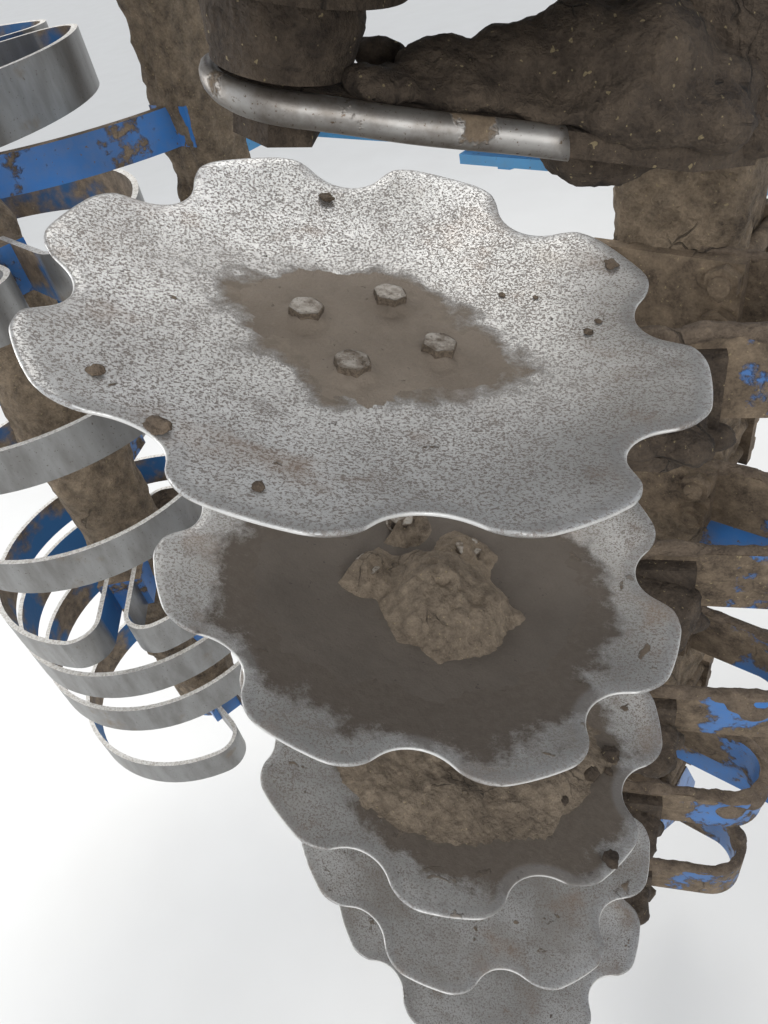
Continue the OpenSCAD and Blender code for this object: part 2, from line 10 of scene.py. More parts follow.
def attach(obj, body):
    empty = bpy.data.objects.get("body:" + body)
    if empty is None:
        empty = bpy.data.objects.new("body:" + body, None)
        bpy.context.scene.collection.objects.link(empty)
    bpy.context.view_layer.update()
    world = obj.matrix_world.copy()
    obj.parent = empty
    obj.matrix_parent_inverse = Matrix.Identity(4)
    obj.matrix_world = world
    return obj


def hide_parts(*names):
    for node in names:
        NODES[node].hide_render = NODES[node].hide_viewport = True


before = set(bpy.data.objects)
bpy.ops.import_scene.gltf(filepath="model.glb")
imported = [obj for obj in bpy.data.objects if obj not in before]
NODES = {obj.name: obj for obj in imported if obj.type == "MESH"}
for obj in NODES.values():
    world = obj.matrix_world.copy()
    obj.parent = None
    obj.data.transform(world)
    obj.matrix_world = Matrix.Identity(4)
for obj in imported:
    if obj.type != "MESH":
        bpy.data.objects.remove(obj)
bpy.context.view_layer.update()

# ------------------------------------------------------------------ sizes of the part, in metres
# They repeat the sizes that the solids were made with. A row's axis is the (x, y) of its discs'
# middles, and its first disc is the lowest.
DISC_COUNT = 8
PITCH = 0.250
REAR_FIRST = 0.360
FRONT_FIRST = 0.235
REAR_AXIS = (-0.095, -0.487)
FRONT_AXIS = (0.805, -0.487)
SWEEP = math.radians(16)
TILT = math.radians(9)
BLADE_R = 0.2455
BLADE_T = 0.005
DISH_R = 0.740
SEAT_R = 0.075
NOTCHES = 8
NOTCH_PITCH = 2 * math.pi / NOTCHES
NOTCH_DEPTH = 0.035
NOTCH_R = 0.040
NOTCH_C = BLADE_R - NOTCH_DEPTH + NOTCH_R
LOBE_R = 0.040
PHASES = (36, 41.3, 9.7, 33.5, 44.5, 20, 13, 28)
HUB_R = 0.042
BOLT_R = 0.0523
BOLT_FIRST = math.radians(22.5)
BEAM_Y = -0.095
ROW_GAP = 0.900
ROLLER_BEAM = (-0.741, -0.095)
ROLLER_AXIS = (-0.958, -0.418)

# Sizes of the scene's own pieces
NEAR_DISC = 4  # index in the rear row of the disc nearest to the camera
# Its hub stands an eighth of a turn further round than its notches tell
BOLT_TURN = {("rear", NEAR_DISC): math.radians(-45)}
BOLT_HEAD_R = 0.0125
BEVEL_W = 0.011
BEVEL_DROP = 0.0022
FLOOR_Z = -0.349
FLOOR_HALF = 30.0


# ------------------------------------------------------------------ camera, light, floor
def set_camera():
    right = Vector((0.77209, 0.61185, -0.17178))
    up = Vector((-0.31906, 0.60698, 0.72786))
    back = Vector((0.54961, -0.50716, 0.66386))
    place = Vector((0.2753, -0.8555, 1.6511))
    data = bpy.data.cameras.new("camera")
    data.sensor_fit = "VERTICAL"
    data.sensor_height = 36.0
    data.lens = 26.94
    data.clip_start = 0.02
    camera = bpy.data.objects.new("camera", data)
    bpy.context.scene.collection.objects.link(camera)
    camera.matrix_world = Matrix((
        (right.x, up.x, back.x, place.x),
        (right.y, up.y, back.y, place.y),
        (right.z, up.z, back.z, place.z),
        (0, 0, 0, 1)))
    bpy.context.scene.camera = camera


def area_light(name, place, target, size, watts, colour=(1, 1, 1)):
    data = bpy.data.lights.new(name, "AREA")
    data.shape = "DISK"
    data.size = size
    data.energy = watts
    data.color = colour
    lamp = bpy.data.objects.new(name, data)
    bpy.context.scene.collection.objects.link(lamp)
    lamp.location = place
    aim = Vector(target) - Vector(place)
    lamp.rotation_euler = aim.to_track_quat("-Z", "Y").to_euler()


def set_light():
    scene = bpy.context.scene
    scene.view_settings.view_transform = "Standard"
    world = bpy.data.worlds.new("studio")
    scene.world = world
    world.use_nodes = True
    tree = world.node_tree
    tree.nodes.clear()
    out = tree.nodes.new("ShaderNodeOutputWorld")
    plain = tree.nodes.new("ShaderNodeBackground")
    plain.inputs["Color"].default_value = (0.93, 0.96, 1.0, 1)
    plain.inputs["Strength"].default_value = 0.90
    seen = tree.nodes.new("ShaderNodeBackground")
    seen.inputs["Color"].default_value = (1, 1, 1, 1)
    seen.inputs["Strength"].default_value = 0.94
    path = tree.nodes.new("ShaderNodeLightPath")
    mix = tree.nodes.new("ShaderNodeMixShader")
    tree.links.new(path.outputs["Is Camera Ray"], mix.inputs[0])
    tree.links.new(plain.outputs[0], mix.inputs[1])
    tree.links.new(seen.outputs[0], mix.inputs[2])
    tree.links.new(mix.outputs[0], out.inputs[0])
    area_light("key", (-1.6, 1.7, 4.2), (-0.1, -0.4, 1.2), 2.2, 85, (1.0, 0.98, 0.94))
    area_light("fill", (2.6, -2.4, 2.6), (-0.1, -0.3, 1.0), 2.4, 50)
    area_light("side", (-3.0, -1.8, 1.8), (-0.5, -0.3, 0.9), 2.0, 40)


def set_floor():
    mesh = bpy.data.meshes.new("floor")
    corners = [(-1, -1), (1, -1), (1, 1), (-1, 1)]
    mesh.from_pydata([(x * FLOOR_HALF, y * FLOOR_HALF, FLOOR_Z) for x, y in corners], [], [(0, 1, 2, 3)])
    floor = bpy.data.objects.new("floor", mesh)
    bpy.context.scene.collection.objects.link(floor)
    g = Graph("floor")
    tone = g.noise(3.0, detail=3)
    g.finish(g.mix(tone, (0.70, 0.69, 0.67), (0.76, 0.755, 0.74)), 0.85)
    mesh.materials.append(g.mat)


# ------------------------------------------------------------------ materials
class Graph:
    """A node material, made with small calls that each give back a socket."""

    def __init__(self, name, axes=None):
        self.mat = bpy.data.materials.new(name)
        self.mat.use_nodes = True
        self.tree = self.mat.node_tree
        self.tree.nodes.clear()
        out = self.tree.nodes.new("ShaderNodeOutputMaterial")
        self.shader = self.tree.nodes.new("ShaderNodeBsdfPrincipled")
        self.tree.links.new(self.shader.outputs[0], out.inputs[0])
        coords = self.tree.nodes.new("ShaderNodeTexCoord")
        self.place = coords.outputs["Object"]
        self.facing = coords.outputs["Normal"]
        if axes is not None:
            turn = axes.to_euler()
            local = self.node("ShaderNodeMapping", vector_type="TEXTURE")
            local.inputs["Location"].default_value = axes.translation
            local.inputs["Rotation"].default_value = turn
            self.put(local.inputs["Vector"], self.place)
            self.place = local.outputs[0]
            back = self.node("ShaderNodeVectorRotate", rotation_type="EULER_XYZ", invert=True)
            back.inputs["Rotation"].default_value = turn
            self.put(back.inputs["Vector"], self.facing)
            self.facing = back.outputs[0]

    def put(self, socket, value):
        if isinstance(value, bpy.types.NodeSocket):
            self.tree.links.new(value, socket)
        elif isinstance(value, (tuple, list, Vector)) and socket.type == "RGBA":
            socket.default_value = (*value[:3], 1)
        else:
            socket.default_value = value

    def node(self, kind, **fields):
        made = self.tree.nodes.new(kind)
        for key, value in fields.items():
            setattr(made, key, value)
        return made

    def math(self, op, *values, clamp=False):
        made = self.node("ShaderNodeMath", operation=op, use_clamp=clamp)
        for socket, value in zip(made.inputs, values):
            self.put(socket, value)
        return made.outputs[0]

    def add(self, a, b):
        return self.math("ADD", a, b)

    def sub(self, a, b):
        return self.math("SUBTRACT", a, b)

    def mul(self, a, b):
        return self.math("MULTIPLY", a, b)

    def swing(self, value, gain):
        """A noise made to swing about 0 instead of 0.5."""
        return self.mul(self.sub(value, 0.5), gain)

    def vec(self, op, *values):
        made = self.node("ShaderNodeVectorMath", operation=op)
        for socket, value in zip(made.inputs, values):
            self.put(socket, value)
        return made.outputs["Value" if op == "DOT_PRODUCT" else "Vector"]

    def xyz(self, vector):
        made = self.node("ShaderNodeSeparateXYZ")
        self.put(made.inputs[0], vector)
        return made.outputs

    def noise(self, scale, detail, rough=0.55, at=None, distort=0.0):
        made = self.node("ShaderNodeTexNoise")
        self.put(made.inputs["Vector"], at or self.place)
        made.inputs["Scale"].default_value = scale
        made.inputs["Detail"].default_value = detail
        made.inputs["Roughness"].default_value = rough
        made.inputs["Distortion"].default_value = distort
        return made.outputs[0]

    def wobble(self, scale):
        made = self.node("ShaderNodeTexNoise")
        self.put(made.inputs["Vector"], self.place)
        made.inputs["Scale"].default_value = scale
        return self.vec("SUBTRACT", made.outputs["Color"], (0.5, 0.5, 0.5))

    def cells(self, scale, at=None, feature="F1"):
        made = self.node("ShaderNodeTexVoronoi", feature=feature)
        self.put(made.inputs["Vector"], at or self.place)
        made.inputs["Scale"].default_value = scale
        return made.outputs["Distance"]

    def step(self, value, low, high):
        made = self.node("ShaderNodeMapRange", interpolation_type="SMOOTHSTEP")
        self.put(made.inputs[0], value)
        made.inputs[1].default_value = low
        made.inputs[2].default_value = high
        return made.outputs[0]

    def mix(self, fac, a, b):
        made = self.node("ShaderNodeMix", data_type="RGBA")
        self.put(made.inputs[0], fac)
        self.put(made.inputs[6], a)
        self.put(made.inputs[7], b)
        return made.outputs[2]

    def lerp(self, fac, a, b):
        made = self.node("ShaderNodeMix", data_type="FLOAT")
        self.put(made.inputs[0], fac)
        self.put(made.inputs[2], a)
        self.put(made.inputs[3], b)
        return made.outputs[0]

    def bump(self, height, depth):
        made = self.node("ShaderNodeBump")
        made.inputs["Strength"].default_value = 1.0
        made.inputs["Distance"].default_value = depth
        self.put(made.inputs["Height"], height)
        return made.outputs[0]

    def finish(self, colour, rough, metal=0.0, normal=None):
        self.put(self.shader.inputs["Base Color"], colour)
        self.put(self.shader.inputs["Roughness"], rough)
        self.put(self.shader.inputs["Metallic"], metal)
        if normal is not None:
            self.put(self.shader.inputs["Normal"], normal)
        return self.mat


def dress(obj, material):
    """Puts one material on all of an object's slots."""
    if not obj.data.materials:
        obj.data.materials.append(material)
    for slot in obj.material_slots:
        slot.material = material


SOIL_ROUGH = 0.92
EARTH_DARK = (0.052, 0.037, 0.026)
EARTH_DRY = (0.285, 0.215, 0.145)
STRAW = (0.46, 0.37, 0.20)


def earth_layers(g, dark=EARTH_DARK, dry=EARTH_DRY, tone=0.5, fine=1.0):
    """Colour and bump of caked soil: clods, crumbs, cracks darkened as painted shade, and bits of straw."""
    big = g.noise(8, detail=3)
    mid = g.noise(48 * fine, detail=6, rough=0.65)
    crumb = g.cells(120 * fine)
    grit = g.noise(380 * fine, detail=3, rough=0.7)
    level = g.add(g.add(g.swing(big, 0.9), g.swing(mid, 2.0)), g.swing(grit, 0.9))
    level = g.math("ADD", level, tone, clamp=True)
    colour = g.mix(level, dark, dry)
    bent = g.vec("ADD", g.place, g.vec("MULTIPLY", g.wobble(30 * fine), (0.03, 0.03, 0.03)))
    split = g.cells(16 * fine, at=bent, feature="DISTANCE_TO_EDGE")
    shaded_crack = g.mul(g.step(split, 0.022, 0.003), g.step(g.noise(11, detail=2), 0.56, 0.66))
    # Painted shade: the cracks are darkened as if shade fell into them
    colour = g.mix(g.mul(shaded_crack, 0.55), colour, tuple(0.55 * c for c in dark))
    bits = g.step(g.noise(240 * fine, detail=1), 0.715, 0.74)
    colour = g.mix(g.mul(bits, 0.45), colour, STRAW)
    height = g.add(mid, g.mul(crumb, -0.30))
    height = g.add(height, g.mul(grit, 0.16))
    height = g.sub(height, g.mul(shaded_crack, 0.35))
    return colour, height


def earth_material(name, dark, dry, tone, fine=1.0, depth=0.010):
    g = Graph(name)
    colour, height = earth_layers(g, dark, dry, tone, fine)
    return g.finish(colour, SOIL_ROUGH, 0.0, g.bump(height, depth))


def film_material(name, dark, dry, depth):
    """Smooth dried mud: soft clouds of tone, fine grain and a few specks."""
    g = Graph(name)
    cloud = g.noise(14, detail=5, rough=0.6)
    grain = g.noise(500, detail=4, rough=0.75)
    level = g.add(g.swing(cloud, 1.6), g.swing(grain, 0.7))
    colour = g.mix(g.math("ADD", level, 0.5, clamp=True), dark, dry)
    specks = g.step(g.noise(150, detail=3, rough=0.6), 0.68, 0.72)
    colour = g.mix(g.mul(specks, 0.7), colour, tuple(0.5 * c for c in dark))
    height = g.add(g.mul(grain, 0.35), g.noise(60, detail=4))
    return g.finish(colour, 0.82, 0.0, g.bump(height, depth))


def paint_material(name, cover, blue=(0.018, 0.125, 0.360), tone=0.5, edge_up=0.25, hub_x=None):
    """Scuffed paint under a broken film of soil, thicker on faces that look up.

    hub_x: where a leaf's hubs stand, as the leaf has more soil near them.
    """
    g = Graph(name)
    soil, soil_height = earth_layers(g, tone=tone)
    patch = g.noise(11, detail=6, rough=0.62)
    fine = g.noise(70, detail=5, rough=0.6)
    up = g.xyz(g.facing)[2]
    amount = g.add(patch, g.mul(fine, 0.35))
    amount = g.add(amount, g.mul(g.step(up, 0.3, 0.9), edge_up))
    if hub_x is not None:
        x = g.sub(g.xyz(g.place)[0], hub_x)
        amount = g.add(amount, g.mul(g.step(x, 0.17, 0.06), 0.42))
    crust = g.step(amount, 1.18 - cover * 0.9, 1.25 - cover * 0.9)
    film = g.mul(g.step(amount, 0.75 - cover * 0.5, 1.25 - cover * 0.5), 0.45)
    shade = g.noise(5, detail=3)
    paint = g.mix(g.step(shade, 0.3, 0.7), blue, tuple(min(1.0, c * 1.55 + 0.01) for c in blue))
    chips = g.step(g.noise(130, detail=4, rough=0.7), 0.64, 0.68)
    paint = g.mix(chips, paint, (0.10, 0.075, 0.06))
    colour = g.mix(film, paint, (0.23, 0.20, 0.165))
    colour = g.mix(crust, colour, soil)
    rough = g.lerp(crust, g.lerp(film, 0.36, 0.75), 0.93)
    flat = g.mul(g.noise(300, detail=2), 0.03)
    height = g.lerp(crust, flat, g.add(g.mul(soil_height, 0.5), 0.5))
    return g.finish(colour, rough, 0.0, g.bump(height, 0.004))


def steel_material(name, light=(0.56, 0.56, 0.55), dark=(0.22, 0.20, 0.18), soil=0.3):
    """Plain worn steel with brown stains and a little soil in its corners."""
    g = Graph(name)
    streak = g.noise(26, detail=6, rough=0.65)
    fine = g.noise(330, detail=3, rough=0.7)
    colour = g.mix(g.step(streak, 0.38, 0.72), light, dark)
    colour = g.mix(g.step(fine, 0.60, 0.70), colour, (0.13, 0.09, 0.06))
    earth, lump = earth_layers(g)
    crust = g.step(g.noise(17, detail=6, rough=0.6), 0.66 - soil * 0.4, 0.70 - soil * 0.4)
    colour = g.mix(crust, colour, earth)
    height = g.lerp(crust, g.mul(fine, -0.05), g.mul(lump, 0.6))
    return g.finish(colour, g.lerp(crust, 0.42, SOIL_ROUGH), g.lerp(crust, 0.8, 0.0), g.bump(height, 0.003))


def bolt_material():
    """Bolt heads: grey-brown worn tops lightened as painted light, sides under dried mud and darkened as
    painted shade.
    """
    g = Graph("bolt_steel")
    fine = g.noise(420, detail=4, rough=0.7)
    patch = g.noise(75, detail=5, rough=0.65)
    top = g.mix(g.step(patch, 0.42, 0.62), (0.34, 0.31, 0.27), (0.165, 0.132, 0.100))
    top = g.mix(g.step(fine, 0.56, 0.66), top, (0.09, 0.07, 0.052))
    mud = g.mix(g.step(fine, 0.35, 0.65), (0.075, 0.056, 0.040), (0.165, 0.128, 0.093))
    # Faces not looking up take the mud colour: dried mud, and painted shade on the sides; the tops' lighter
    # colour is painted light
    side = g.math("MAXIMUM", g.step(g.xyz(g.facing)[2], 0.80, 0.60), g.step(patch, 0.60, 0.66))
    height = g.add(g.mul(fine, 0.5), g.mul(side, 0.4))
    return g.finish(g.mix(side, top, mud), g.lerp(side, 0.5, SOIL_ROUGH), g.lerp(side, 0.35, 0.0),
                    g.bump(height, 0.0012))


def hoop_material():
    """Flat bar polished outside, blue inside, with light worn edges."""
    g = Graph("hoop_bar")
    from_axis = g.vec("MULTIPLY", g.vec("SUBTRACT", g.place, (*ROLLER_AXIS, 0)), (1, 1, 0))
    outward = g.vec("DOT_PRODUCT", g.vec("NORMALIZE", from_axis), g.facing)
    edge = g.step(g.math("ABSOLUTE", g.xyz(g.facing)[2]), 0.5, 0.8)
    patch = g.noise(10, detail=6, rough=0.6)
    fine = g.noise(240, detail=4, rough=0.7)
    streak = g.noise(30, detail=5, at=g.vec("MULTIPLY", g.place, (1, 1, 0.3)), rough=0.6)
    steel = g.mix(g.step(streak, 0.30, 0.72), (0.31, 0.31, 0.305), (0.20, 0.194, 0.185))
    steel = g.mix(g.step(fine, 0.62, 0.70), steel, (0.10, 0.08, 0.065))
    steel = g.mix(g.step(patch, 0.60, 0.72), steel, (0.21, 0.175, 0.14))
    rim = g.mix(g.step(fine, 0.40, 0.70), (0.72, 0.70, 0.66), (0.40, 0.36, 0.31))
    earth, lump = earth_layers(g)
    inner = g.mix(g.step(g.noise(6, detail=5), 0.44, 0.54), (0.022, 0.120, 0.300), earth)
    inside = g.step(outward, 0.1, -0.1)
    colour = g.mix(inside, steel, inner)
    colour = g.mix(edge, colour, rim)
    height = g.add(g.mul(fine, -0.04), g.mul(g.mul(lump, inside), 0.2))
    return g.finish(colour, g.lerp(inside, 0.40, 0.75), g.lerp(inside, 0.75, 0.0), g.bump(height, 0.003))


# ------------------------------------------------------------------ discs
def shown_mesh(name, verts, faces, flip=False):
    """A smooth mesh. Flipped, it is mirrored in its own z."""
    if flip:
        verts = [(x, y, -z) for x, y, z in verts]
        faces = [tuple(reversed(face)) for face in faces]
    mesh = bpy.data.meshes.new(name)
    mesh.from_pydata(verts, [], faces)
    mesh.polygons.foreach_set("use_smooth", [True] * len(mesh.polygons))
    mesh.update()
    return mesh


def stack_faces(rings, sides):
    """Faces of a closed form: a middle point, rings of points, and a last middle point."""
    faces = []
    for k in range(sides):
        n = (k + 1) % sides
        faces.append((0, 1 + k, 1 + n))
        for j in range(rings - 1):
            a, b = 1 + j * sides, 1 + (j + 1) * sides
            faces.append((a + k, b + k, b + n, a + n))
        last = 1 + (rings - 1) * sides
        faces.append((1 + rings * sides, last + n, last + k))
    return faces


def row_frame(row, index):
    """Middle of a disc, with the row's own axes, which are the part's."""
    axis, first = (REAR_AXIS, REAR_FIRST) if row == "rear" else (FRONT_AXIS, FRONT_FIRST)
    return Matrix.Translation((axis[0], axis[1], first + PITCH * index))


def disc_frame(row, index, phased=True):
    """Centre and own axes of a disc. The front row's blades are turned over in their meshes."""
    sign = 1 if row == "rear" else -1
    turn = Matrix.Rotation(sign * SWEEP, 4, "Y") @ Matrix.Rotation(-sign * TILT, 4, "X")
    if phased:
        turn = turn @ Matrix.Rotation(math.radians(PHASES[index]), 4, "Z")
    return row_frame(row, index) @ turn


def from_notch(angle):
    """Angle from the middle of the nearest notch."""
    return (angle + NOTCH_PITCH / 2) % NOTCH_PITCH - NOTCH_PITCH / 2


def rim_radius(angle):
    """Distance from the middle to the notched rim in a direction; a notch is at angle 0."""
    a = abs(from_notch(angle))
    corner_c = BLADE_R - LOBE_R
    corner_a = math.acos((corner_c ** 2 + NOTCH_C ** 2 - (LOBE_R + NOTCH_R) ** 2)
                         / (2 * corner_c * NOTCH_C))
    if a >= corner_a:
        return BLADE_R
    corner = Vector((corner_c * math.cos(corner_a), corner_c * math.sin(corner_a)))
    meet = corner + (Vector((NOTCH_C, 0)) - corner) * (LOBE_R / (LOBE_R + NOTCH_R))
    if a >= math.atan2(meet.y, meet.x):
        along = corner.x * math.cos(a) + corner.y * math.sin(a)
        return along + math.sqrt(max(LOBE_R ** 2 - corner.length_squared + along ** 2, 0))
    along = NOTCH_C * math.cos(a)
    return along - math.sqrt(max(NOTCH_R ** 2 - NOTCH_C ** 2 + along ** 2, 0))


def rim_gap(x, y):
    """Distance from a point of the blade to its rim."""
    r, a = math.hypot(x, y), from_notch(math.atan2(y, x))
    to_notch = math.hypot(r * math.cos(a) - NOTCH_C, r * math.sin(a)) - NOTCH_R
    return min(to_notch, BLADE_R - r)


def dish(r):
    """Height of the blade's hollow face at a distance from its middle."""
    return DISH_R - math.sqrt(DISH_R ** 2 - r * r)


def blade_mesh(name, seed, angles, rings, flip):
    """Dished blade with a rolled bevel inside its rim, rounded edge and slight dents."""
    shift = Vector((seed * 3.1, seed * 1.7, 0.4))
    # Rings, as shares of the way out: the flat seat, the dish, and close ones at the rim
    seat = SEAT_R / 0.21
    steps = [seat * k / 3 for k in range(1, 4)]
    steps += [seat + (0.93 - seat) * k / rings for k in range(1, rings + 1)]
    steps += [0.955, 0.972, 0.986, 0.996]

    def dent(x, y, r, depth):
        """Slight dents, none on the seat."""
        fade = min(1, max(0, r - SEAT_R) / 0.05)
        return depth * noise.noise(Vector((x * 9, y * 9, 0)) + shift) * fade

    def top_z(x, y, r):
        bevel = BEVEL_DROP * max(0.0, 1 - rim_gap(x, y) / BEVEL_W) ** 1.6
        return dish(max(r, SEAT_R)) - bevel + dent(x, y, r, 0.0007)

    def low_z(x, y, r):
        rounding = 0.0006 * max(0.0, 1 - rim_gap(x, y) / 0.003) ** 2
        return dish(max(r, SEAT_R)) - BLADE_T + rounding + dent(x, y, r, 0.0006)

    radii = [rim_radius(2 * math.pi * k / angles) for k in range(angles)]
    profile = [(t, "top") for t in steps] + [(1.0, "rim")] + [(t, "low") for t in reversed(steps)]
    verts = [(0, 0, top_z(0, 0, 0))]
    for t, side in profile:
        for k, full in enumerate(radii):
            a, r = 2 * math.pi * k / angles, full * t
            x, y = r * math.cos(a), r * math.sin(a)
            if side == "rim":
                z = 0.5 * (top_z(x, y, r) + low_z(x, y, r))
            else:
                z = top_z(x, y, r) if side == "top" else low_z(x, y, r)
            verts.append((x, y, z))
    verts.append((0, 0, low_z(0, 0, 0)))
    return shown_mesh(name, verts, stack_faces(len(profile), angles), flip)


def blend(fac, a, b):
    """A colour between two."""
    return tuple(p + (q - p) * fac for p, q in zip(a, b))


def blade_material(name, seed, smear, grime, flip, axes):
    """Soil-polished steel: dense pits, rust tint, a bright rim with a band of painted shade inside it,
    crusts and a smear of mud.

    smear: (x, y, half width, half height, turn, roundness, wetness) in the disc's plane.
    """
    g = Graph(name, axes)
    x, y, _ = g.xyz(g.place)
    r = g.math("SQRT", g.add(g.mul(x, x), g.mul(y, y)))
    fold = g.math("WRAP", g.math("ARCTAN2", y, x), NOTCH_PITCH / 2, -NOTCH_PITCH / 2)
    px = g.sub(g.mul(r, g.math("COSINE", fold)), NOTCH_C)
    py = g.mul(r, g.math("SINE", fold))
    to_notch = g.sub(g.math("SQRT", g.add(g.mul(px, px), g.mul(py, py))), NOTCH_R)
    gap = g.math("SMOOTH_MIN", to_notch, g.sub(BLADE_R, r), 0.012)
    there = g.vec("ADD", g.place, (seed * 1.3, seed * 2.1, seed * 0.7))
    side = 0.1 if flip else -0.1
    top = g.step(g.xyz(g.facing)[2], side, -side)

    # Steel with pits and rust
    cloud = g.noise(7, detail=4, at=there)
    haze = g.noise(26, detail=5, rough=0.65, at=there)
    base = g.mix(g.step(cloud, 0.34, 0.66), (0.60, 0.595, 0.58), (0.42, 0.415, 0.40))
    base = g.mix(g.step(haze, 0.52, 0.72), base, (0.36, 0.35, 0.335))
    pits = g.noise(470, detail=3, rough=0.75, at=there, distort=0.4)
    big_pits = g.noise(150, detail=4, rough=0.7, at=there, distort=0.8)
    dense = g.add(g.mul(haze, 0.10), g.mul(cloud, 0.06))
    pit = g.step(g.add(pits, dense), 0.575, 0.640)
    deep = g.step(big_pits, 0.655, 0.70)
    colour = g.mix(g.mul(pit, 0.78), base, (0.15, 0.115, 0.09))
    colour = g.mix(g.mul(deep, 0.85), colour, (0.085, 0.06, 0.045))
    rust = g.step(g.add(g.noise(13, detail=5, at=there), g.mul(r, 0.6)), 0.66, 0.86)
    colour = g.mix(g.mul(rust, 0.34), colour, (0.33, 0.20, 0.11))

    # Dirt: a dull film, then crusts and splashes
    dull = g.noise(16, detail=5, rough=0.6, at=there)
    dull = g.step(dull, 0.62 - grime * 0.25, 0.80 - grime * 0.2)
    colour = g.mix(g.mul(dull, 0.42), colour, (0.24, 0.205, 0.17))
    splash = g.noise(34, detail=6, rough=0.62, at=there, distort=0.4)
    splash = g.step(splash, 0.70 - grime * 0.12, 0.735 - grime * 0.12)
    mud_tone = g.mix(g.step(g.noise(60, detail=5, at=there), 0.35, 0.65), (0.105, 0.078, 0.056),
                     (0.215, 0.168, 0.122))

    # The smear of mud round the seat, ragged at its edge, with a dull ring about it
    cx, cy, half_x, half_y, turn, power, wet = smear
    c, s = math.cos(turn), math.sin(turn)
    dx, dy = g.sub(x, cx), g.sub(y, cy)
    u = g.add(g.mul(dx, c / half_x), g.mul(dy, s / half_x))
    v = g.add(g.mul(dx, -s / half_y), g.mul(dy, c / half_y))
    size = g.add(g.math("POWER", g.math("ABSOLUTE", u), power),
                 g.math("POWER", g.math("ABSOLUTE", v), power))
    size = g.add(size, g.swing(g.noise(30, detail=6, rough=0.68, at=there), 1.3))
    size = g.add(size, g.swing(pits, 0.5))
    tone = blend(wet, (0.240, 0.197, 0.152), (0.098, 0.080, 0.065))
    grain = g.noise(120, detail=5, rough=0.7, at=there)
    soft = g.mix(g.step(grain, 0.35, 0.68), blend(0.30, tone, (0.06, 0.045, 0.035)), tone)
    smear_on = g.mul(g.step(size, 1.16, 0.88), top)
    ring = g.mul(g.mul(g.step(size, 1.85, 1.0), top), 0.42)
    colour = g.mix(ring, colour, (0.260, 0.250, 0.235))
    colour = g.mix(smear_on, colour, soft)
    colour = g.mix(g.mul(splash, g.sub(1.0, g.mul(smear_on, 0.6))), colour, mud_tone)

    # The back of the blade carries more of a dirt film
    back = g.mul(g.sub(1.0, top), g.step(haze, 0.35, 0.62))
    colour = g.mix(g.mul(back, 0.75), colour, (0.17, 0.135, 0.10))
    # Rim: bright worn line, then a darker band over the rolled bevel, which is painted shade (a painted
    # dark reflection)
    worn = g.step(g.add(gap, g.mul(haze, 0.0024)), 0.0030, 0.0014)
    colour = g.mix(g.mul(worn, 0.85), colour, (0.80, 0.79, 0.76))
    rolled = g.mul(g.step(gap, 0.015, 0.009), g.sub(1.0, worn))
    colour = g.mix(g.mul(rolled, 0.30), colour, (0.30, 0.30, 0.30))

    mud = g.mul(g.math("MAXIMUM", splash, smear_on), g.sub(1.0, worn))
    rough = g.lerp(g.mul(pit, 0.5), 0.39 + 0.08 * grime, 0.66)
    rough = g.lerp(mud, rough, 0.86)
    metal = g.lerp(mud, g.lerp(g.math("MAXIMUM", pit, deep), 0.52, 0.1), 0.0)
    height = g.add(g.mul(pit, -0.07), g.mul(deep, -0.25))
    thick = g.add(g.mul(splash, 1.2), g.mul(mud, g.noise(210, detail=4, rough=0.7, at=there)))
    return g.finish(colour, rough, metal, g.bump(g.add(height, thick), 0.0010))


# The smear of mud on each rear blade, in metres on the blade as seen from its hollow side,
# before the notches' phase is taken off, and how grimy the blade is.
SMEARS = {
    ("rear", 4): (-0.004, 0.004, 0.124, 0.092, math.radians(20), 1.15, 0.0),
    ("rear", 3): (0.020, -0.035, 0.176, 0.165, 0.3, 2.4, 0.85),
    ("rear", 2): (0.060, -0.030, 0.165, 0.150, 0.1, 2.2, 0.7),
    ("rear", 1): (0.0, 0.0, 0.12, 0.11, 0.7, 2.0, 0.6),
    ("rear", 0): (0.02, 0.0, 0.13, 0.10, 0.2, 2.0, 0.6),
    ("rear", 5): (0.0, 0.01, 0.13, 0.10, 1.1, 1.6, 0.4),
    ("rear", 6): (0.0, 0.0, 0.14, 0.12, 0.1, 2.0, 0.6),
    ("rear", 7): (0.0, 0.0, 0.12, 0.09, 2.1, 1.5, 0.3),
}
GRIME = {("rear", 4): 0.10, ("rear", 3): 0.35, ("rear", 2): 0.55, ("rear", 1): 0.55, ("rear", 0): 0.6}
OTHER_GRIME = 0.4


def make_blades():
    for row in ("rear", "front"):
        for index in range(DISC_COUNT):
            flip = row == "front"
            near = not flip and 2 <= index <= NEAR_DISC
            name = f"{row}_blade_{index + 1}"
            seed = index + (21 if flip else 1)
            mesh = blade_mesh(name + "_worn", seed, 480 if near else 240, 18 if near else 10, flip)
            blade = bpy.data.objects.new(name + "_worn", mesh)
            bpy.context.scene.collection.objects.link(blade)
            axes = disc_frame(row, index)
            mesh.transform(axes)
            other = (0.01, -0.01, 0.12, 0.10, 0.9 * index, 1.8, 0.5)
            cx, cy, half_x, half_y, turn, power, wet = SMEARS.get((row, index), other)
            phase = math.radians(PHASES[index])
            p = Matrix.Rotation(-phase, 2) @ Vector((cx, cy))
            smear = (p.x, p.y, half_x, half_y, turn - phase, power, wet)
            grime = GRIME.get((row, index), OTHER_GRIME)
            dress(blade, blade_material(name + "_steel", seed, smear, grime, flip, axes))
            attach(blade, f"{row}_disc_{index + 1}")
            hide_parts(name)


# ------------------------------------------------------------------ soil shapes
def fbm(p, octaves):
    """Layered noise, about -1 to 1."""
    total, size = 0.0, 1.0
    for _ in range(octaves):
        total += noise.noise(p) * size
        p = p * 2.07 + Vector((3.1, 1.7, 5.3))
        size *= 0.52
    return total


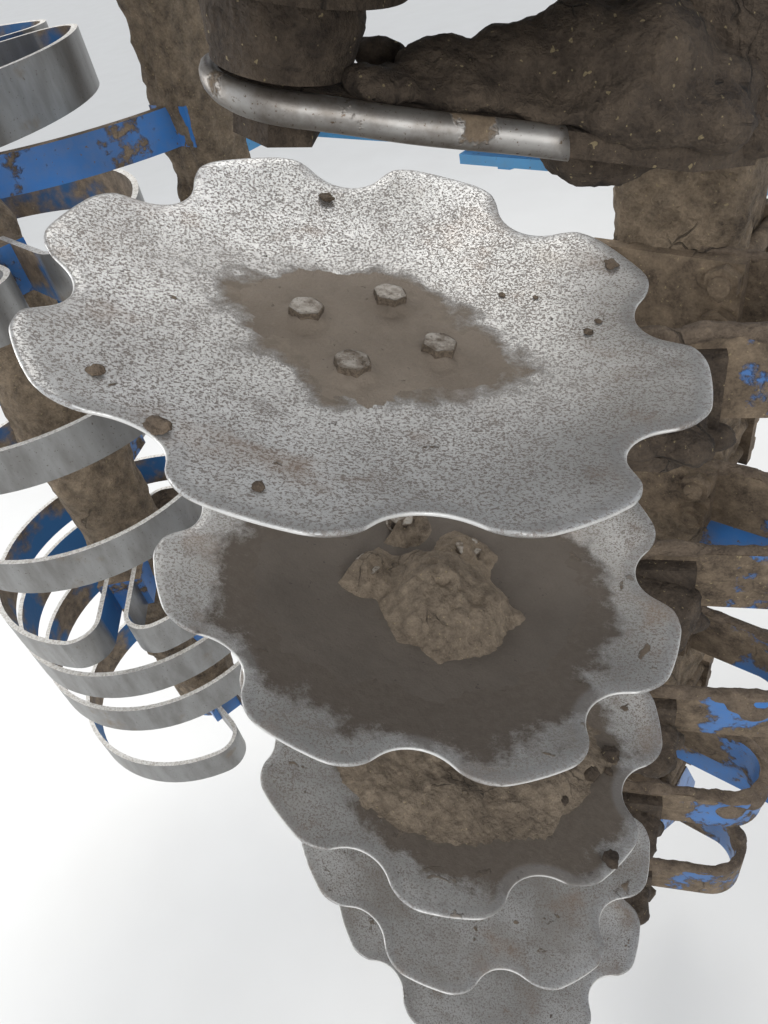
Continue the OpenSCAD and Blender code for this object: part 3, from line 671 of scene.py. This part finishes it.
def add_mesh(name, verts, faces, material, body, place=None, flip=False):
    """A dressed piece that rides on a body. The vertices are in place's own axes."""
    mesh = shown_mesh(name, verts, faces, flip)
    if place is not None:
        mesh.transform(place)
    piece = bpy.data.objects.new(name, mesh)
    bpy.context.scene.collection.objects.link(piece)
    dress(piece, material)
    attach(piece, body)
    return piece


def soil_skin(name, outline, z0, z1, thick, body, material, seed, step, place=None, flip=False):
    """Soil caked round a column: its outline swollen by lumpy noise, closed at both ends."""
    rows = max(4, round((z1 - z0) / step))
    shift = Vector((seed * 7.3, seed * 2.9, seed * 1.1))
    count = len(outline)
    verts, faces = [], []
    for k in range(rows + 1):
        z = z0 + (z1 - z0) * k / rows
        end = min(1.0, min(k, rows - k) * step / 0.03)
        for x, y, nx, ny in outline:
            p = Vector((x, y, z))
            lump = 0.55 + 0.55 * fbm(p * 8 + shift, 3)
            bark = abs(fbm(Vector((x * 26, y * 26, z * 13)) + shift, 4))
            grain = fbm(p * 95 + shift, 3)
            bare = min(1.0, max(0.0, 0.5 + 2.6 * (fbm(p * 5 + shift * 2, 2) + 0.28)))
            out = thick * (lump * 1.15 + bark * 0.85) * bare + 0.0016 * grain
            out = max(out, -0.002) * (0.25 + 0.75 * end)
            verts.append((x + nx * out, y + ny * out, z))
    for k in range(rows):
        for j in range(count):
            n = (j + 1) % count
            faces.append((k * count + j, k * count + n, (k + 1) * count + n, (k + 1) * count + j))
    faces.append(tuple(reversed(range(count))))
    faces.append(tuple(rows * count + j for j in range(count)))
    add_mesh(name, verts, faces, material, body, place, flip)


def square_outline(x, y, half, radius, count):
    """Rounded square as (x, y, outward x, outward y), evenly spread round it."""
    points = []
    flat = 2 * (half - radius)
    quarter = flat + radius * math.pi / 2
    for k in range(count):
        s = 4 * quarter * k / count
        side, t = int(s // quarter), s % quarter
        if t < flat:
            px, py, a = half, -flat / 2 + t, 0.0
        else:
            a = (t - flat) / radius
            px = half - radius + radius * math.cos(a)
            py = half - radius + radius * math.sin(a)
        turn = Matrix.Rotation(side * math.pi / 2, 2)
        p, n = turn @ Vector((px, py)), turn @ Vector((math.cos(a), math.sin(a)))
        points.append((x + p.x, y + p.y, n.x, n.y))
    return points


def round_outline(x, y, radius, count):
    ring = [2 * math.pi * k / count for k in range(count)]
    return [(x + radius * math.cos(a), y + radius * math.sin(a), math.cos(a), math.sin(a))
            for a in ring]


def soil_mass(name, blobs, body, material, seed, voxel, rough, place):
    """Lumps run together into one mass, then broken up by noise.

    blobs: (centre, radii, turn about z)
    """
    bm = bmesh.new()
    for centre, radii, turn in blobs:
        shape = (Matrix.Translation(centre) @ Matrix.Rotation(turn, 4, "Z")
                 @ Matrix.Diagonal((*radii, 1)))
        bmesh.ops.create_icosphere(bm, subdivisions=3, radius=1.0, matrix=shape)
    rough_mesh = bpy.data.meshes.new(name)
    bm.to_mesh(rough_mesh)
    bm.free()
    piece = bpy.data.objects.new(name, rough_mesh)
    bpy.context.scene.collection.objects.link(piece)
    remesh = piece.modifiers.new("voxels", "REMESH")
    remesh.mode = "VOXEL"
    remesh.voxel_size = voxel
    smooth = piece.modifiers.new("settle", "SMOOTH")
    smooth.iterations = 3
    graph = bpy.context.evaluated_depsgraph_get()
    mesh = bpy.data.meshes.new_from_object(piece.evaluated_get(graph))
    piece.modifiers.clear()
    piece.data = mesh
    shift = Vector((seed * 5.7, seed * 3.3, seed * 1.9))
    moved = []
    for v in mesh.vertices:
        p = v.co
        out = rough * (0.9 * fbm(p * 14 + shift, 3) + 0.55 * abs(fbm(p * 38 + shift, 3)) - 0.2)
        out += 0.12 * rough * fbm(p * 130 + shift, 2)
        moved.append(p + v.normal * out)
    for v, p in zip(mesh.vertices, moved):
        v.co = p
    mesh.polygons.foreach_set("use_smooth", [True] * len(mesh.polygons))
    mesh.transform(place)
    mesh.materials.clear()
    dress(piece, material)
    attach(piece, body)


def inside_by(outline, x, y):
    """Distance from a point to a closed outline, positive inside it."""
    best, inside = 1e9, False
    for (ax, ay), (bx, by) in zip(outline, outline[1:] + outline[:1]):
        dx, dy = bx - ax, by - ay
        t = max(0.0, min(1.0, ((x - ax) * dx + (y - ay) * dy) / (dx * dx + dy * dy)))
        best = min(best, math.hypot(ax + t * dx - x, ay + t * dy - y))
        if (ay > y) != (by > y) and x < ax + (y - ay) * dx / dy:
            inside = not inside
    return best if inside else -best


def crust(name, index, outline, height, rise, ragged, seed, step, material, collar=0.0,
          spread=0.0, lumpy=1.0):
    """Mud lying on a rear blade inside an outline in millimetres, on the disc's own plane.

    rise: width of its sloping edge; collar: height of the mud heaped round the bolt heads, which
    reaches as far as spread from a bolt's middle.
    """
    body = f"rear_disc_{index + 1}"
    phase = math.radians(PHASES[index])
    flat = disc_frame("rear", index, False)
    outline = [(x / 1000, y / 1000) for x, y in outline]
    pad = 0.02
    x0, y0 = min(x for x, _ in outline) - pad, min(y for _, y in outline) - pad
    cols = int((max(x for x, _ in outline) + pad - x0) / step)
    rows = int((max(y for _, y in outline) + pad - y0) / step)
    shift = Vector((seed * 4.1, seed * 6.3, 0.9))
    first = phase + BOLT_FIRST + BOLT_TURN.get(("rear", index), 0)
    bolts = [BOLT_R * Vector((math.cos(first + a), math.sin(first + a)))
             for a in (math.pi / 2 * k for k in range(4))]
    outside, cut_off = -0.0003, -1.0
    verts, faces, index_of = [], [], {}
    heights = {}
    for j in range(rows + 1):
        for i in range(cols + 1):
            x, y = x0 + i * step, y0 + j * step
            p = Vector((x, y, 0))
            d = inside_by(outline, x, y)
            d += ragged * (fbm(p * 22 + shift, 4) * 0.9 + 0.35 * fbm(p * 90 + shift, 2))
            t = max(0.0, min(1.0, d / rise))
            lump = 0.55 * fbm(p * 16 + shift, 3) + 0.35 * abs(fbm(p * 42 + shift * 2, 3)) - 0.16
            h = height * t * t * (3 - 2 * t) * max(0.78 + lumpy * lump, 0.12)
            h += min(1.0, height / 0.0015) * 0.0006 * fbm(p * 160 + shift, 2) * t
            heights[i, j] = h if d > 0 else outside
            if collar:
                near = max(min((Vector((x, y)) - bolt).length for bolt in bolts) - BOLT_HEAD_R, 0)
                near /= spread - BOLT_HEAD_R
                if near < 1:
                    heap = collar * (1 - near) ** 1.4 * (0.8 + 0.5 * fbm(p * 60 + shift, 3))
                    heights[i, j] = max(heights[i, j], 0) + heap
            # Mud never hangs past the rim or into a notch
            c, s = math.cos(-phase), math.sin(-phase)
            if rim_gap(x * c - y * s, x * s + y * c) < 0.004:
                heights[i, j] = cut_off
    for j in range(rows):
        for i in range(cols):
            quad = [(i, j), (i + 1, j), (i + 1, j + 1), (i, j + 1)]
            levels = [heights[q] for q in quad]
            if max(levels) <= 0 or min(levels) <= cut_off:
                continue
            face = []
            for q in quad:
                if q not in index_of:
                    x, y = x0 + q[0] * step, y0 + q[1] * step
                    index_of[q] = len(verts)
                    verts.append((x, y, dish(max(math.hypot(x, y), SEAT_R)) + heights[q]))
                face.append(index_of[q])
            faces.append(face)
    add_mesh(name, verts, faces, material, body, flat)


def clod_verts(centre, radius, seed, flat, level):
    """Vertices and faces of one broken clod."""
    bm = bmesh.new()
    bmesh.ops.create_icosphere(bm, subdivisions=level, radius=1.0)
    shift = Vector((seed * 1.37, seed * 2.11, seed * 0.73))
    turn = Euler((seed * 1.1, seed * 2.3, seed * 0.7)).to_matrix()
    verts = []
    for v in bm.verts:
        p = turn @ v.co
        size = 1 + 0.42 * noise.noise(v.co * 1.4 + shift) + 0.2 * noise.noise(v.co * 3.7 + shift)
        p = Vector((p.x, p.y, p.z * flat)) * size * radius
        verts.append(tuple(p + Vector(centre)))
    faces = [tuple(v.index for v in f.verts) for f in bm.faces]
    bm.free()
    return verts, faces


def clods(name, index, spots, seed, material):
    """Loose clods on a rear blade: spots are (x, y, radius) in millimetres."""
    verts, faces = [], []
    for k, (x, y, r) in enumerate(spots):
        x, y, r = x / 1000, y / 1000, r / 1000
        z = dish(max(math.hypot(x, y), SEAT_R)) + r * 0.35
        v, f = clod_verts((x, y, z), r, seed + k * 3.3, flat=0.5, level=3 if r > 0.004 else 2)
        faces += [tuple(a + len(verts) for a in face) for face in f]
        verts += v
    add_mesh(name, verts, faces, material, f"rear_disc_{index + 1}",
             disc_frame("rear", index, False))


# ------------------------------------------------------------------ bolts on the blades
# Radius and height over the seat of a washer's rings, and of a bolt head's as shares of its size
WASHER = ((0.0150, -0.0002), (0.0150, 0.0020), (0.0144, 0.0026), (0.0120, 0.0027))
HEAD = ((1.0, 0.0028), (1.0, 0.0103), (0.985, 0.0112), (0.93, 0.0119), (0.80, 0.0122), (0.30, 0.0119))
HEAD_FLAT = 0.01215  # half of its width across the flats


def head_radius(share, a):
    """Reach of a bolt head in a direction: a hexagon with worn corners, round on its top."""
    if share <= 0.9:
        return HEAD_FLAT * share
    sector = (a + math.pi / 6) % (math.pi / 3) - math.pi / 6
    hexagon = min(HEAD_FLAT / math.cos(sector), HEAD_FLAT * 1.135)
    return hexagon if share == 1.0 else min(hexagon, HEAD_FLAT * 1.12 * share)


def bolt_set(row, index, material):
    """Worn hexagon heads with washers over the hub's four blade bolts."""
    seat_top = dish(SEAT_R)
    sides = 48
    verts, faces = [], []

    def stack(cx, cy, turn, rings):
        """Joins rings over each other. A ring: (height, reach by direction)."""
        starts = []
        for z, reach in rings:
            starts.append(len(verts))
            for k in range(sides):
                a = 2 * math.pi * k / sides
                verts.append((cx + reach(a) * math.cos(a + turn), cy + reach(a) * math.sin(a + turn),
                              seat_top + z))
        for a, b in zip(starts, starts[1:]):
            for k in range(sides):
                n = (k + 1) % sides
                faces.append((a + k, a + n, b + n, b + k))
        return starts[-1]

    for k in range(4):
        at = math.pi / 2 * k + BOLT_FIRST
        cx, cy = BOLT_R * math.cos(at), BOLT_R * math.sin(at)
        stack(cx, cy, 0, [(z, lambda a, r=r: r) for r, z in WASHER])
        top = stack(cx, cy, at, [(z, lambda a, share=share: head_radius(share, a)) for share, z in HEAD])
        faces.append(tuple(top + j for j in range(sides)))
    place = disc_frame(row, index) @ Matrix.Rotation(BOLT_TURN.get((row, index), 0), 4, "Z")
    add_mesh(f"{row}_bolts_{index + 1}", verts, faces, material, f"{row}_disc_{index + 1}",
             place, flip=row == "front")


def near_hub(material):
    """Flange and barrel of the nearest disc's hub, in place of the CAD hub and its bolts."""
    under = DISH_R - math.sqrt((DISH_R + BLADE_T) ** 2 - SEAT_R ** 2)
    bore, flange, edge = 0.02005, 0.0710, 0.0008
    profile = [(0.0, -0.0190), (bore, -0.0190), (bore, -0.0600), (HUB_R - edge, -0.0600),
               (HUB_R, -0.0600 + edge), (HUB_R, under - 0.0140), (flange - edge, under - 0.0140),
               (flange, under - 0.0140 + edge), (flange, under - edge), (flange - edge, under),
               (0.0, under)]
    sides = 96
    verts = [(0, 0, profile[0][1])]
    for r, z in profile[1:-1]:
        verts += [(r * math.cos(2 * math.pi * k / sides), r * math.sin(2 * math.pi * k / sides), z)
                  for k in range(sides)]
    verts.append((0, 0, profile[-1][1]))
    faces = stack_faces(len(profile) - 2, sides)
    hub = add_mesh("rear_hub_5_turned", verts, faces, material, "rear_disc_5",
                   disc_frame("rear", NEAR_DISC))
    hub.data.polygons.foreach_set("use_smooth", [False] * len(hub.data.polygons))
    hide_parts("rear_hub_5")


# ------------------------------------------------------------------ soil on the frame
def flipped(blobs):
    """The same lumps for the front row, whose discs stand the other way up."""
    return [((x, y, -z), radii, turn) for (x, y, z), radii, turn in blobs]


def carrier_soil(row, index, material):
    """Soil packed on the carrier's plate between hub and leaf, in the disc's own axes."""
    seed = index + (1 if row == "rear" else 31)
    rng = random.Random(seed)
    # Middle and radii of each lump, in millimetres
    lumps = [((75, 70, -52), (32, 28, 15)), ((105, 98, -44), (40, 34, 26)),
             ((135, 128, -36), (42, 38, 33)), ((168, 150, -34), (48, 42, 36)),
             ((200, 172, -44), (42, 38, 36)), ((62, 22, -58), (26, 16, 9)),
             ((16, 64, -57), (26, 14, 10)), ((160, 140, -90), (40, 20, 22)),
             ((100, 66, -58), (34, 18, 12)), ((138, 84, -60), (26, 15, 11)),
             ((168, 106, -56), (30, 19, 14)), ((198, 126, -52), (30, 23, 17)),
             ((224, 148, -50), (30, 26, 20)), ((170, 124, -50), (46, 32, 24))]
    # Soil rounded over the lower end of the pad, given in the row's axes
    own = (Matrix.Rotation(SWEEP, 4, "Y") @ Matrix.Rotation(-TILT, 4, "X")).inverted()
    for k in range(6):
        p = own @ Vector((100 + 21 * k, 132 + 10.4 * k, -153))
        lumps.append(((p.x, p.y, p.z), (21, 15, 15)))
    blobs = []
    for (x, y, z), radii in lumps:
        s = rng.uniform(0.85, 1.1)
        centre = (x / 1000 + rng.uniform(-5, 5) / 1000, y / 1000 + rng.uniform(-5, 5) / 1000, z / 1000)
        turn = math.radians(43 + rng.uniform(-15, 15))
        blobs.append((centre, tuple(r * s / 1000 for r in radii), turn))
    if row == "front":
        blobs = flipped(blobs)
    near = row == "rear" and index in (NEAR_DISC, NEAR_DISC + 1)
    soil_mass(f"{row}_carrier_soil_{index + 1}", blobs, "frame", material, seed,
              0.004 if near else 0.0065, 0.007, disc_frame(row, index, False))


def leaf_soil(row, index, material):
    """Ridge of soil lying along the leaf's upper edge."""
    seed = index + (11 if row == "rear" else 51)
    rng = random.Random(seed)
    # The leaf in the row's axes: a straight of 150 mm, its bend, and the end on the clamp
    slope, bend_x, bend_y, bend_r, length = math.radians(26), 0.260, 0.285, 0.050, 0.150
    path = []
    for k in range(9):
        p = Matrix.Rotation(slope, 2) @ Vector((-length + length * k / 8, -bend_r))
        path.append((bend_x + p.x, bend_y + p.y, slope))
    for k in range(1, 7):
        a = slope - math.pi / 2 + (math.pi - slope) * k / 6
        path.append((bend_x + bend_r * math.cos(a), bend_y + bend_r * math.sin(a), a + math.pi / 2))
    for k in range(1, 5):
        path.append((bend_x - 0.030 * k, bend_y + bend_r, math.pi))
    blobs = []
    for x, y, a in path:
        z = -0.061 + rng.uniform(-0.003, 0.003)
        high = 0.0085 + rng.uniform(-0.001, 0.003)
        blobs.append(((x, y, z), (0.020, high, 0.0055 + rng.uniform(0, 0.004)), a))
    for _ in range(3):
        x, y, a = path[rng.randrange(2, 14)]
        blobs.append(((x, y, -0.070 - rng.uniform(0, 0.03)), (0.022, 0.0125, 0.020), a))
    if row == "front":
        blobs = flipped(blobs)
    soil_mass(f"{row}_leaf_soil_{index + 1}", blobs, "frame", material, seed,
              0.004 if row == "rear" else 0.006, 0.003, row_frame(row, index))


def carrier_edge(row, index, material):
    """Rounded, polished lower edge of the carrier's plate."""
    n = Vector((math.sin(SWEEP) * math.cos(TILT), math.sin(TILT), math.cos(SWEEP) * math.cos(TILT)))
    below = 0.065  # how far under the disc's middle the edge runs round the hub
    hub = Vector((-math.sin(SWEEP) * below, -math.sin(TILT) * below))
    line = []
    for k in range(22):
        a = math.radians(136 + (328.5 - 136) * k / 21)
        line.append(hub + HUB_R * Vector((math.cos(a), math.sin(a))))
    corners = [line[-1]] + [hub + Vector(p) for p in ((0.084, 0.018), (0.124, 0.062), (0.146, 0.083))]
    for a, b in zip(corners, corners[1:]):
        steps = max(2, round((b - a).length / 0.008))
        line += [a.lerp(b, k / steps) for k in range(1, steps + 1)]
    for _ in range(3):
        inner = [(a + 2 * b + c) / 4 for a, b, c in zip(line, line[1:], line[2:])]
        line = [line[0], *inner, line[-1]]
    verts, faces, sides = [], [], 14
    shift = Vector((index * 3.7, 1.3, 0.4))
    for k, p in enumerate(line):
        a, b = line[max(k - 1, 0)], line[min(k + 1, len(line) - 1)]
        ahead = (b - a).normalized()
        out = Vector((ahead.y, -ahead.x))
        z = (-0.0725 - n.x * p.x - n.y * p.y) / n.z
        wear = 0.0012 * noise.noise(Vector((p.x * 25, p.y * 25, 0)) + shift)
        for s in range(sides):
            t = 2 * math.pi * s / sides
            r_out, r_up = 0.0078 + wear, 0.0096 / n.z
            q = p + out * (r_out * math.cos(t) - 0.001)
            lift = -(n.x * (q.x - p.x) + n.y * (q.y - p.y)) / n.z
            verts.append((q.x, q.y, z + lift + r_up * math.sin(t)))
    for k in range(len(line) - 1):
        for s in range(sides):
            m = (s + 1) % sides
            faces.append((k * sides + s, (k + 1) * sides + s, (k + 1) * sides + m, k * sides + m))
    faces.append(tuple(range(sides)))
    faces.append(tuple((len(line) - 1) * sides + s for s in reversed(range(sides))))
    add_mesh(f"{row}_carrier_edge_{index + 1}", verts, faces, material, "frame",
             row_frame(row, index), flip=row == "front")


def hub_soil(row, index, material):
    """Soil that turns with the hub, round its barrel and under its flange."""
    seed = index + (3 if row == "rear" else 43)
    soil_skin(f"{row}_hub_soil_{index + 1}", round_outline(0, 0, HUB_R - 0.0005, 56), -0.052, -0.014,
              0.010, f"{row}_disc_{index + 1}", material, seed, 0.003, disc_frame(row, index),
              row == "front")


# ------------------------------------------------------------------ run
set_camera()
set_light()
set_floor()
make_blades()

blue = paint_material("blue_paint", 0.50)
# Painted light: the rails' and link's lighter blue stands in for sky light on them; their thinner soil is
# real
sky_lit_clean_blue = paint_material("link_paint", 0.22, blue=(0.070, 0.265, 0.500), tone=0.6, edge_up=0.15)
blue_soiled = paint_material("soiled_paint", 0.85)
rear_leaf = paint_material("rear_leaf_paint", 0.56, hub_x=0.0)
front_leaf = paint_material("front_leaf_paint", 0.56, hub_x=ROW_GAP)
steel = steel_material("bare_steel")
bolt_steel = bolt_material()
edge_steel = steel_material("edge_steel", light=(0.40, 0.385, 0.365), dark=(0.20, 0.175, 0.15), soil=0.35)
hoop_bar = hoop_material()
beam_earth = earth_material("beam_soil", (0.070, 0.051, 0.035), (0.350, 0.268, 0.182), 0.50, fine=0.9,
                            depth=0.014)
dark_earth = earth_material("carrier_soil", (0.030, 0.021, 0.015), (0.130, 0.097, 0.068), 0.42)
ridge_earth = earth_material("ridge_soil", (0.07, 0.05, 0.036), (0.25, 0.19, 0.135), 0.55)
mound_earth = earth_material("mound_soil", (0.095, 0.072, 0.052), (0.300, 0.238, 0.172), 0.52, fine=1.5,
                             depth=0.006)
dry_film = film_material("dry_film", (0.175, 0.140, 0.107), (0.285, 0.236, 0.186), depth=0.0030)
wet_film = film_material("wet_film", (0.082, 0.067, 0.054), (0.140, 0.116, 0.095), depth=0.0018)

soiled_nodes = ("front_beam", "rear_beam", "roller_beam", "roller_core", "front_clamps", "rear_clamps")
looks = {"front_leaves": front_leaf, "rear_leaves": rear_leaf, "hoops": hoop_bar,
         "link_rails": sky_lit_clean_blue, "depth_link": sky_lit_clean_blue, "pivot_pins": steel,
         **dict.fromkeys(soiled_nodes, blue_soiled)}
for node_name, obj in NODES.items():
    if any(word in node_name for word in ("hub", "carriers", "axles")):
        dress(obj, dark_earth)
    elif "blade" not in node_name:
        dress(obj, looks.get(node_name, blue))

near_hub(dark_earth)
for row in ("rear", "front"):
    for index in range(DISC_COUNT):
        bolt_set(row, index, bolt_steel)
        hub_soil(row, index, dark_earth)
        carrier_soil(row, index, dark_earth)
        leaf_soil(row, index, ridge_earth)
        carrier_edge(row, index, edge_steel)

# Each skin: name, outline, its two ends in z, thickness, body, step
CORNER_R = 0.012
skins = [
    ("rear_beam_soil", square_outline(0, BEAM_Y, 0.0505, CORNER_R, 72), 0.215, 2.135, 0.016,
     "frame", 0.007),
    ("front_beam_soil", square_outline(ROW_GAP, BEAM_Y, 0.0505, CORNER_R, 48), 0.215, 2.135, 0.014,
     "frame", 0.011),
    ("roller_beam_soil", square_outline(*ROLLER_BEAM, 0.0405, CORNER_R, 64), 0.125, 2.005, 0.014,
     "roller_frame", 0.007),
    ("roller_core_soil_1", round_outline(*ROLLER_AXIS, 0.0705, 60), 0.180, 1.338, 0.012, "roller", 0.009),
    ("roller_core_soil_2", round_outline(*ROLLER_AXIS, 0.0705, 60), 1.402, 1.950, 0.012, "roller", 0.009),
]
for seed, (name, outline, z0, z1, thick, body, step) in enumerate(skins, 1):
    soil_skin(name, outline, z0, z1, thick, body, beam_earth, seed, step)

crust("mud_1", NEAR_DISC,
      [(-111, -32), (-100, 31), (-46, 85), (5, 87), (99, 49), (104, 19), (73, -26), (60, -79),
       (22, -86), (-16, -62), (-63, -65)],
      0.0018, 0.024, 0.009, 1, 0.0018, dry_film, collar=0.0065, spread=0.023)
clods("clods_1", NEAR_DISC,
      [(123, 117, 4), (123, 134, 3), (96, 206, 6), (-64, -196, 5), (-1, -204, 7), (75, -202, 4),
       (-147, 119, 6), (41, 125, 3), (65, 138, 2.5)], 5, ridge_earth)
crust("mud_2", 3,
      [(-76, -148), (-122, -100), (-108, -20), (-60, 60), (20, 120), (106, 116), (140, 74), (160, 21),
       (158, -34), (130, -82), (90, -130), (38, -166), (-24, -176)],
      0.0014, 0.020, 0.012, 2, 0.0034, wet_film)
crust("mound_2", 3,
      [(-6, -69), (-20, -10), (4, 34), (58, 43), (117, 10), (118, -42), (86, -90), (35, -94)],
      0.038, 0.034, 0.007, 3, 0.0020, mound_earth, collar=0.016, spread=0.036, lumpy=0.45)
crust("mud_3", 2,
      [(-51, -161), (-13, -173), (45, -163), (111, -131), (159, -67), (186, -3), (185, 56),
       (120, 110), (20, 120), (-60, 60), (-90, -60)],
      0.022, 0.040, 0.014, 4, 0.0032, mound_earth, collar=0.024, spread=0.036)
clods("clods_3", 2,
      [(160, -22, 8), (173, 26, 9), (180, 61, 10), (229, -56, 9), (168, 44, 6), (188, 40, 5)], 9,
      dark_earth)
